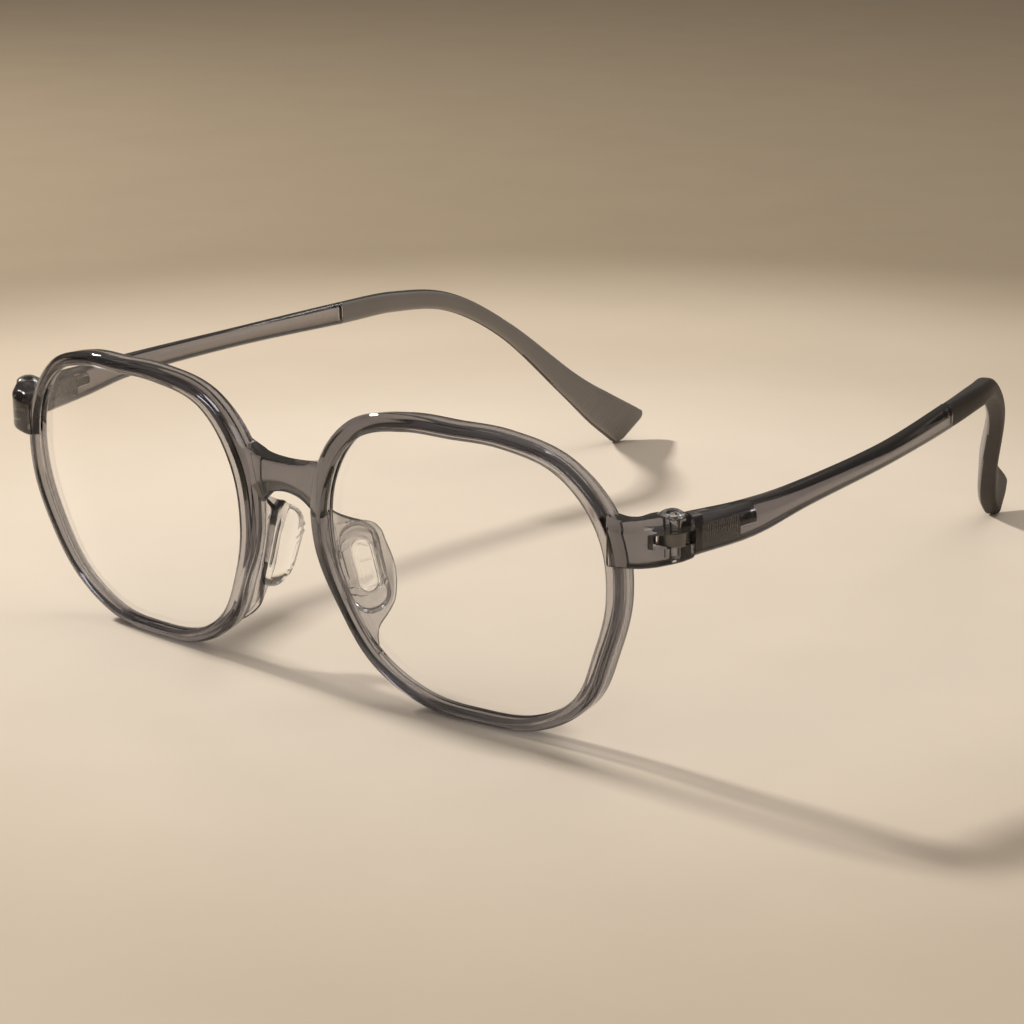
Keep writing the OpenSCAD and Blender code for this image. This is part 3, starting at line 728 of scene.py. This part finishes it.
def ribbed(q):
    """The ring of the sleeve at q, with slanting ribs pressed into its inner face."""
    ring = route_ring(q, FIT, FIT, 0.7, 0.3, 0.6)
    side, up = route_frame(q)[1:]
    g = route_size(q)
    s, v = (ring - route_point(q)) @ side, (ring - route_point(q)) @ up
    run = math.copysign(np.linalg.norm(route_point(q) - route_point(8)), q - 8)
    fade = np.clip((q - RIBS_FROM) / 1.2, 0, 1) * np.clip((10 - q) / 0.15, 0, 1)
    inner = np.clip((-s - 0.5 * g[0]) / (0.3 * g[0]), 0, 1)
    inner *= np.clip((g[1] - np.abs(v)) / 0.6, 0, 1)
    wave = 0.5 + 0.5 * np.cos(2 * math.pi * (run + RIB_SLANT * v) / RIB_PITCH)
    return ring + (RIB_DEPTH * fade * inner * wave)[:, None] * side


def tip_rings(step):
    """The socket from its bottom to its mouth, the ribbed sleeve, and its rounded end."""
    socket = [tenon_ring(q, FIT) for q in np.arange(TENON, SEAM - 0.01, -TENON_STEP)]
    sleeve = [ribbed(q) for q in np.arange(SEAM, 10 + step / 2, step)]
    ends = [route_ring(10, e[0], np.array(e[1:3]), e[3], e[4], 0.6) for e in TIP_END]
    return socket + sleeve + ends


tips = both_sides("rubber_tip_", lambda name: skin(name, tip_rings(0.0125)), 50)
print("a tip has", len(tips["left"].data.polygons), "faces")

# %% [markdown]
# The spring is one wire wound round a rod. Its tube is made with the same winding as the plain model, but
# with more rings to a turn and more sides, so that the wire is round.

# %% The springs
def coil_wire(per_turn, sides):
    """Rings of the wire, its straight ends included, along the slide line."""
    run, mid = COIL_LEN - 3 * WIRE_D, COIL_R - WIRE_D / 2
    count = per_turn * COIL_TURNS
    straight = np.array([0, 1.0, 0])

    def spot(i, back=None):
        """A place on the winding, or the place at the same angle so far back."""
        a = 2 * math.pi * i / per_turn
        back = COIL_FROM + 1.5 * WIRE_D + run * i / count if back is None else back
        return np.array([mid * math.cos(a), back, -mid * math.sin(a)])

    def ring(c, way):
        way = way / np.linalg.norm(way)
        spoke = np.array([c[0], 0, c[2]]) / math.hypot(c[0], c[2])
        turn = np.arange(sides) * 2 * math.pi / sides
        return c + WIRE_D / 2 * (np.outer(np.cos(turn), spoke) + np.outer(np.sin(turn), np.cross(way, spoke)))

    def wound(i):
        way = spot(i + 0.5) - spot(i - 0.5)
        return ring(spot(i), way / np.linalg.norm(way) + (straight if i in (0, count) else 0))

    end = COIL_FROM + COIL_LEN
    return np.array([ring(spot(0, back), straight) for back in (COIL_FROM, COIL_FROM + WIRE_D)]
                    + [wound(i) for i in range(count + 1)]
                    + [ring(spot(count, back), straight) for back in (end - WIRE_D, end)])


springs = both_sides("wound_spring_", lambda name: skin(name, moved(coil_wire(24, 10), on_axis)), 60)
print("a spring has", len(springs["left"].data.polygons), "faces")

# %% [markdown]
# A nose pad is clear silicone, moulded with an air cushion. Curved ribs lie at its top and foot and fine
# upright ribs in the middle of the side that touches the nose. A neck goes through the slot of the
# plate, and a bead behind it holds the pad.

# %% The nose pads
PAD_L, PAD_W, PAD_T = 14.4, 6.6, 3.5
PAD_MID, PAD_LEAN, BEAD_T = [2.9, 0.25], 8, 0.7
# Curved ribs: place along half the length, and bow. Then their height, and the depth and step of
# the upright ones.
CRESCENTS = ((0.64, 0.3), (0.46, 0.26), (-0.44, -0.26), (-0.6, -0.28))
CURVED, UPRIGHT, UPRIGHT_STEP = 0.24, 0.16, 0.7


def pad_dome(rings=40, count=140):
    """The dome of the pad as points in the frame of its plate, with its ribs."""
    outline = oval_section(PAD_L, PAD_W, count=count)
    base = -PLATE_T - FIT
    rows = []
    for share in np.sin(np.linspace(math.pi / 2, 0.02, rings)):
        flat = outline * share
        u, v = flat[:, 1] / (PAD_L / 2), flat[:, 0] / (PAD_W / 2)
        rise = PAD_T * (1 - share ** 4) ** 0.42 * (1 + 0.16 * u)
        crescents = sum(np.exp(-((u - at + bow * v ** 2) / 0.03) ** 2) for at, bow in CRESCENTS)
        upright = 0.5 + 0.5 * np.cos(2 * math.pi * flat[:, 0] / UPRIGHT_STEP)
        upright *= np.clip((0.3 - np.abs(u)) / 0.05, 0, 1)
        relief = (CURVED * crescents - UPRIGHT * upright) * np.clip((0.79 - share) / 0.12, 0, 1)
        rows.append(np.column_stack([leaned(flat, PAD_LEAN) + PAD_MID, base - rise - relief]))
    skirt = np.column_stack([leaned(outline, PAD_LEAN) + PAD_MID, np.full(count, base)])
    return np.array([skirt] + rows[1:])


def recess(low, high):
    """A hollow in the bead: the part of an oval between two heights along its length."""
    p = oval_section(7.3, 2.4, count=64)
    p[:, 1] = np.clip(p[:, 1], low, high)
    return bar("pad_cut", leaned(p, NECK_LEAN) + NECK_MID, 0.3, 2, on_plate)


def whole_pad(name):
    neck = oval_section(NECK_L, NECK_W, NECK_MID, NECK_LEAN)
    bead = oval_section(NECK_L + 0.5, NECK_W + 0.5, NECK_MID, NECK_LEAN)
    parts = [skin("pad_part", moved(pad_dome(), on_plate)),
             bar("pad_part", neck, -PLATE_T - 0.5, 0.15, on_plate),
             bar("pad_part", bead, FIT, FIT + BEAD_T, on_plate)]
    pad = melted(name, parts, 0.085, 3)
    return carved(pad, [recess(1.05, 9), recess(-3.2, 0.8)])


pads = both_sides("silicone_pad_", whole_pad, 40)
print("a pad has", len(pads["left"].data.polygons), "faces")

# %% [markdown]
# The hinge pins are clear polished studs: a shank and a low domed head with a softened rim. The dome works
# as a small lens, so the light that falls on it gathers in bright spots. A turned shape is a ring for each
# point of its profile, set round the axis of the pin.

# %% The hinge pins
def turned_piece(name, profile, count=64):
    """A piece turned from a profile of (radius, height) about the pin axis."""
    a = np.arange(count) * 2 * math.pi / count
    rings = [np.column_stack([r * np.cos(a), r * np.sin(a), np.full(count, z)]) + PIN for r, z in profile]
    return skin(name, rings)


dome_r = (HEAD_R ** 2 + HEAD_H ** 2) / (2 * HEAD_H)
head_foot = END_H / 2 + 0.02
head_top = head_foot + HEAD_H
dome = [(r, min(head_top + 0.15 - dome_r + math.sqrt(dome_r ** 2 - r ** 2), head_top))
        for r in HEAD_R * np.linspace(0.97, 0.02, 14)]
profile = [(PIN_R - 0.1, 0.35 - END_H / 2), (PIN_R, 0.45 - END_H / 2), (PIN_R, head_foot),
           (HEAD_R - 0.06, head_foot), (HEAD_R, head_foot + 0.05)] + dome
pins = both_sides("turned_pin_", lambda name: turned_piece(name, profile), 35)
print("a pin has", len(pins["left"].data.polygons), "faces")

# %% [markdown]
# Now the finishes. Clear plastic is a gloss surface that lets light through, with smoke in its body:
# the thicker it is, the darker it looks, so the colour is an absorption inside the mesh and not a paint
# on it. Lamps shine through it too, which gives the soft grey shadow of see-through plastic.

# %% Helpers for finishes
def added(tree, kind, **inputs):
    """A new node. Each input takes a plain value or the output of another node, and its name is
    written with underscores for spaces."""
    made = tree.nodes.new("ShaderNode" + kind)
    for name, value in inputs.items():
        socket = made.inputs[name.replace("_", " ")]
        if isinstance(value, bpy.types.NodeSocket):
            tree.links.new(value, socket)
        else:
            socket.default_value = value
    return made


def finish_of(name):
    """A new material and its empty node tree."""
    material = bpy.data.materials.new(name)
    material.use_nodes = True
    material.node_tree.nodes.clear()
    return material, material.node_tree


def grain(tree, scale, detail, low=0, high=1):
    """Fine noise from low to high, as wide as 1 / scale metres."""
    place = added(tree, "TexCoord").outputs["Object"]
    noise = added(tree, "TexNoise", Vector=place, Scale=scale, Detail=detail)
    return added(tree, "MapRange", Value=noise.outputs["Fac"], To_Min=low, To_Max=high).outputs["Result"]


def tinted(tree, share, *stops):
    """Colours along a share from 0 to 1: the first stop, the last one, then those between."""
    tint = added(tree, "ValToRGB", Fac=share)
    elements = tint.color_ramp.elements
    for i, (position, colour) in enumerate(stops):
        stop = elements[i] if i < 2 else elements.new(position)
        stop.position, stop.color = position, (*colour, 1)
    return tint


def bumped(tree, height, strength, distance):
    """The normals of a surface that rises and falls with a height."""
    return added(tree, "Bump", Height=height, Strength=strength, Distance=distance).outputs["Normal"]


print("finish helpers are ready")

# %% [markdown]
# Smoky crystal plastic, for the front and the temples: polished, with the faint waviness of a moulding
# and a slightly duller film in patches where fingers have been. A drilled or moulded hole is never
# polished, so the walls of the bore and the chamber get a duller sort of the same plastic.

# %% Smoky crystal plastic
def see_through(name, colour, ior, rough, film, body, density):
    """A gloss surface that lets light through, round a body that takes some of it away. Rough holds
    the scale, the detail, the least and the most of its grain."""
    material, tree = finish_of(name)
    shader = added(tree, "BsdfPrincipled", Base_Color=(*colour, 1), Transmission_Weight=1.0, IOR=ior,
                   Roughness=grain(tree, *rough))
    # A shadow ray meets a clear film instead of the gloss, so lamps shine through the piece.
    clear = added(tree, "BsdfTransparent", Color=(*film, 1))
    mix = added(tree, "MixShader", Fac=added(tree, "LightPath").outputs["Is Shadow Ray"])
    tree.links.new(shader.outputs["BSDF"], mix.inputs[1])
    tree.links.new(clear.outputs["BSDF"], mix.inputs[2])
    inside = added(tree, "VolumeAbsorption", Color=(*body, 1), Density=density)
    added(tree, "OutputMaterial", Surface=mix.outputs["Shader"], Volume=inside.outputs["Volume"])
    return material, tree, shader


def smoky_plastic(name, smoke, density, dull=0):
    """Plastic with the ripple of a moulding. A dull value above 0 roughens it."""
    material, tree, shader = see_through(name, (0.97, 0.965, 0.97), 1.5, (160, 3, 0.015 + dull, 0.055 + dull),
                                         (0.9, 0.9, 0.91), smoke, density)
    tree.links.new(bumped(tree, grain(tree, 420, 1), 0.025, 0.0001), shader.inputs["Normal"])
    return material


SMOKE, SMOKE_DENSITY = (0.33, 0.32, 0.36), 570
smoky = smoky_plastic("smoky_crystal", SMOKE, SMOKE_DENSITY)
bored = smoky_plastic("bored_crystal", SMOKE, SMOKE_DENSITY, 0.14)
clear_stud = smoky_plastic("clear_stud", (0.6, 0.62, 0.64), 260)
print("smoke:", smoky.name, bored.name, clear_stud.name)

# %% [markdown]
# The lens is clear with a coating against glare, so it reflects little. The pad is softer: it
# blurs what is behind it and has a milky body. Both let lamps through as well.

# %% Lens and silicone
def clear_finish(name, colour, rough, ior, film, density):
    grains = (90, 2, rough * 0.6, rough * 1.4)
    return see_through(name, colour, ior, grains, film, (0.7, 0.72, 0.71), density)[0]


lens_clear = clear_finish("coated_lens", (1, 1, 1), 0.006, 1.34, (0.985, 0.99, 0.985), 8)
silicone = clear_finish("clear_silicone", (1, 1, 0.995), 0.06, 1.29, (0.97, 0.97, 0.965), 20)
print("clear finishes:", lens_clear.name, silicone.name)

# %% [markdown]
# Metal comes in three finishes: satin steel for the sliders and a near-black one for the seats, both with
# fine brushing along them, and drawn wire for the springs. The seats are real metal blocks, but their
# near-black colour is painted shade for the dark mouth of the temple.

# %% Metals
def metal_finish(name, colour, low, high, stretch, strength):
    """Metal with fine marks, stretched along the axes of the piece and rough from low to high."""
    material, tree = finish_of(name)
    place = added(tree, "TexCoord").outputs["Object"]
    squeezed = added(tree, "Mapping", Vector=place, Scale=stretch).outputs["Vector"]
    marks = added(tree, "TexNoise", Vector=squeezed, Scale=1.0, Detail=3).outputs["Fac"]
    tint = tinted(tree, marks, (0, [c * 0.8 for c in colour]), (1, [c * 1.15 for c in colour]))
    rough = added(tree, "MapRange", Value=marks, To_Min=low, To_Max=high)
    shader = added(tree, "BsdfPrincipled", Metallic=1.0, Base_Color=tint.outputs["Color"],
                   Roughness=rough.outputs["Result"], Normal=bumped(tree, marks, strength, 0.00005))
    added(tree, "OutputMaterial", Surface=shader.outputs["BSDF"])
    return material


BRUSHED, DRAWN = (12000, 600, 12000), (5000, 5000, 5000)
# Near-black on the real metal seats: painted shade in the mouth of the temple
seat_shade_metal = metal_finish("seat_shade_steel", (0.06, 0.056, 0.053), 0.35, 0.55, BRUSHED, 0.3)
satin_metal = metal_finish("satin_steel", (0.21, 0.2, 0.19), 0.32, 0.5, BRUSHED, 0.3)
wire_metal = metal_finish("drawn_wire", (0.55, 0.53, 0.51), 0.2, 0.35, DRAWN, 0.15)
print("metals:", seat_shade_metal.name, satin_metal.name, wire_metal.name)

# %% [markdown]
# Soft rubber is matt with a dusty bloom at glancing angles. Its colour drifts a little, and a very fine
# grain breaks the highlights. Only the ribbed inner face of a tip has that bloom. A tip is one rubber, but its
# smooth outer face and its edges take a much darker copy of it with almost no bloom: painted shade.

# %% Soft rubber
def rubber_finish(name, colour, bloom, gloss):
    """Rubber whose colour drifts by 15 per cent to either side."""
    material, tree = finish_of(name)
    tint = tinted(tree, grain(tree, 60, 2), (0, [c * 0.85 for c in colour]), (1, [c * 1.15 for c in colour]))
    shader = added(tree, "BsdfPrincipled", Base_Color=tint.outputs["Color"], Specular_IOR_Level=gloss,
                   Sheen_Weight=bloom, Sheen_Roughness=0.45, Roughness=grain(tree, 900, 4, 0.46, 0.62),
                   Normal=bumped(tree, grain(tree, 9000, 2), 0.25, 0.00005))
    added(tree, "OutputMaterial", Surface=shader.outputs["BSDF"])
    return material


rubber = rubber_finish("soft_rubber", (0.25, 0.232, 0.218), 0.25, 0.35)
# The same rubber much darker and with almost no bloom: painted shade for the outer faces and edges of a tip
painted_shade_rubber = rubber_finish("painted_shade_rubber", (0.036, 0.031, 0.027), 0.03, 0.3)
print("rubber:", rubber.name, painted_shade_rubber.name)

# %% [markdown]
# Each piece now gets its finish, its body and the node that it stands for. The metal sliders and seats
# keep the exact solids of the plain model and only take a finish.

# %% Put the pieces on their bodies
def dress(piece, finish, body, node):
    """Gives a piece its finish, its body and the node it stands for."""
    piece.data.materials.clear()
    piece.data.materials.append(finish)
    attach(piece, body)
    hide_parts(node)


def dull_inside(piece, finish, flip):
    """The walls of the bore and the chamber take the duller finish."""
    piece.data.materials.append(finish)
    back = np.linalg.inv(on_axis)
    count = 0
    for face in piece.data.polygons:
        x, y, z = moved(np.array(face.center) / MM * [flip, 1, 1] + [0, MID_Y, 0], back)
        narrow = abs(x) < CHAMBER_W / 2 + 0.02 and abs(z) < SEAT_H / 2 + 0.05
        if narrow and FACE_S + 0.3 < y < BORE_END + 0.1:
            face.material_index = 1
            count += 1
    return count


def painted_shade_outside(piece, finish, flip):
    """All faces of a tip but the inner ones take the darker finish, which is painted shade."""
    piece.data.materials.append(finish)
    out = Vector((0.97 * flip, 0.25, 0))
    for face in piece.data.polygons:
        face.material_index = 1 if face.normal.dot(out) > -0.4 else 0


dress(front, smoky, "front", "front_frame")
for side, flip in SIDES:
    dress(lens_pieces[side], lens_clear, "front", "lens_" + side)
    dress(pads[side], silicone, "front", "nose_pad_" + side)
    dress(pins[side], clear_stud, "front", "hinge_pin_" + side)
    dress(temples[side], smoky, "temple_" + side, "temple_" + side)
    dulled = dull_inside(temples[side], bored, flip)
    dress(tips[side], rubber, "temple_" + side, "temple_tip_" + side)
    painted_shade_outside(tips[side], painted_shade_rubber, flip)
    dress(springs[side], wire_metal, "temple_" + side, "hinge_spring_" + side)
    for node, metal in (("spring_slider_" + side, satin_metal), ("spring_seat_" + side, seat_shade_metal)):
        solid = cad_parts[node]
        solid.data.materials.clear()
        solid.data.materials.append(metal)

# %% [markdown]
# The floor is pale round the pair and darker further off: a pool of light painted into its colour, not made
# by the lamps. Clear plastic bends the darker part into view and shows it as dark bands, which a floor of one
# colour would never give. A faint mottling keeps it from looking like paper.

# %% The floor
def light_pool_floor_finish(near, edge, far, inner, outer):
    """A floor with a painted pool of light: its colour falls off between two distances from the middle, in
    metres.
    """
    material, tree = finish_of("pale_floor")
    length = added(tree, "VectorMath", Vector=added(tree, "TexCoord").outputs["Object"])
    length.operation = "LENGTH"
    share = added(tree, "MapRange", Value=length.outputs["Value"], From_Min=inner, From_Max=outer)
    # This ramp paints the pool of light: pale near the pair, darker far off
    tint = tinted(tree, share.outputs["Result"], (0, near), (1, far), (0.45, edge))
    tint.color_ramp.interpolation = "EASE"
    mixed = added(tree, "VectorMath", Vector=tint.outputs["Color"])
    mixed.operation = "SCALE"
    tree.links.new(grain(tree, 30, 6, 0.93, 1.04), mixed.inputs["Scale"])
    shader = added(tree, "BsdfPrincipled", Base_Color=mixed.outputs["Vector"], Roughness=0.65)
    added(tree, "OutputMaterial", Surface=shader.outputs["BSDF"])
    return material


FLOOR_HALF, FLOOR_Z = 3000, -0.02
corners = [[x * FLOOR_HALF, y * FLOOR_HALF, FLOOR_Z] for x, y in ((-1, -1), (1, -1), (1, 1), (-1, 1))]
floor = as_piece("pale_floor", corners, [(0, 1, 2, 3)])
# Colours of the painted pool of light near, at its edge and far off, then where it fades, in metres
floor.data.materials.append(light_pool_floor_finish((0.8, 0.71, 0.6), (0.62, 0.53, 0.42), (0.3, 0.24, 0.165), 0.08, 0.3))
print("floor at", round(floor.data.vertices[0].co.z / MM, 3), "mm")

# %% [markdown]
# Soft studio light: one warm panel from the side where the light comes from, small enough for the shadows
# to have a shape, a weak one above and one in front. The room itself is dim, because polished plastic
# is drawn by what it reflects and looks dark where the room is dark.

# %% Light
def panel(name, place, target, size, power, colour):
    """A soft lamp that faces the target. Places and sizes are in mm."""
    lamp = bpy.data.lights.new(name, "AREA")
    lamp.shape, lamp.size, lamp.size_y = "RECTANGLE", size[0] * MM, size[1] * MM
    lamp.energy, lamp.color = power, colour
    holder = bpy.data.objects.new(name, lamp)
    scene.collection.objects.link(holder)
    holder.location = Vector(place) * MM
    holder.rotation_mode = "QUATERNION"
    holder.rotation_quaternion = (Vector(target) - Vector(place)).to_track_quat("-Z", "Y")


panel("key_panel", (-800, -80, 600), (0, 0, 10), (80, 80), 9.6, (1.0, 0.95, 0.88))
panel("top_panel", (80, 420, 700), (0, 0, 20), (500, 160), 0.8, (1.0, 0.98, 0.95))
panel("front_panel", (420, -560, 380), (0, 0, 20), (300, 200), 0.5, (1.0, 0.98, 0.96))

world = bpy.data.worlds.new("dim_room")
scene.world = world
world.use_nodes = True
tree = world.node_tree
tree.nodes.clear()
split = added(tree, "SeparateXYZ", Vector=added(tree, "TexCoord").outputs["Generated"])
sky = tinted(tree, split.outputs["Z"], (0, (0.12, 0.1, 0.08)), (0.9, (0.5, 0.445, 0.39)),
             (0.25, (0.19, 0.165, 0.14)))
room = added(tree, "Background", Color=sky.outputs["Color"], Strength=0.9)
added(tree, "OutputWorld", Surface=room.outputs["Background"])

# %% [markdown]
# The camera stands where the photograph was taken from: to the right of the wearer's left eye, a little
# above, about 41 cm away, with a long lens. Its place was worked out by fitting the solids to the picture.

# %% Camera
# The side it stands on, its height above the level and its roll, its place in mm, and its focal
# length in pixels of a picture 1024 wide
AZ, EL, ROLL = math.radians(37.656), math.radians(16.668), math.radians(-0.194)
EYE, FOCAL, SENSOR = Vector((261.67, -279.88 - MID_Y, 142.80)), 2625.07, 36.0
back_way = Vector((math.sin(AZ) * math.cos(EL), -math.cos(AZ) * math.cos(EL), math.sin(EL)))
right = Vector((0, 0, 1)).cross(back_way).normalized()
up = back_way.cross(right)
right, up = (math.cos(ROLL) * right + math.sin(ROLL) * up, -math.sin(ROLL) * right + math.cos(ROLL) * up)
seen = bpy.data.cameras.new("camera")
seen.sensor_width, seen.lens = SENSOR, SENSOR * FOCAL / 1024
seen.clip_start, seen.clip_end = 0.01, 20
camera = bpy.data.objects.new("camera", seen)
scene.collection.objects.link(camera)
turn = Matrix((right, up, back_way)).transposed().to_4x4()
camera.matrix_world = Matrix.Translation(EYE * MM) @ turn
scene.camera = camera
print("camera at", [round(v / MM, 1) for v in camera.location], "mm, lens", round(seen.lens, 2), "mm")

# %% [markdown]
# A few settings keep clear plastic clean in the picture: enough bounces for light to pass through both
# rims and a lens, and no stray bright dots from light focused by curved plastic.

# %% Light paths
light = scene.cycles
light.max_bounces, light.glossy_bounces = 20, 6
light.transmission_bounces, light.transparent_max_bounces = 16, 24
light.caustics_reflective = light.caustics_refractive = False
light.sample_clamp_indirect, light.use_denoising = 4, True
scene.view_settings.view_transform = "Standard"
print("light may pass", light.transmission_bounces, "faces")
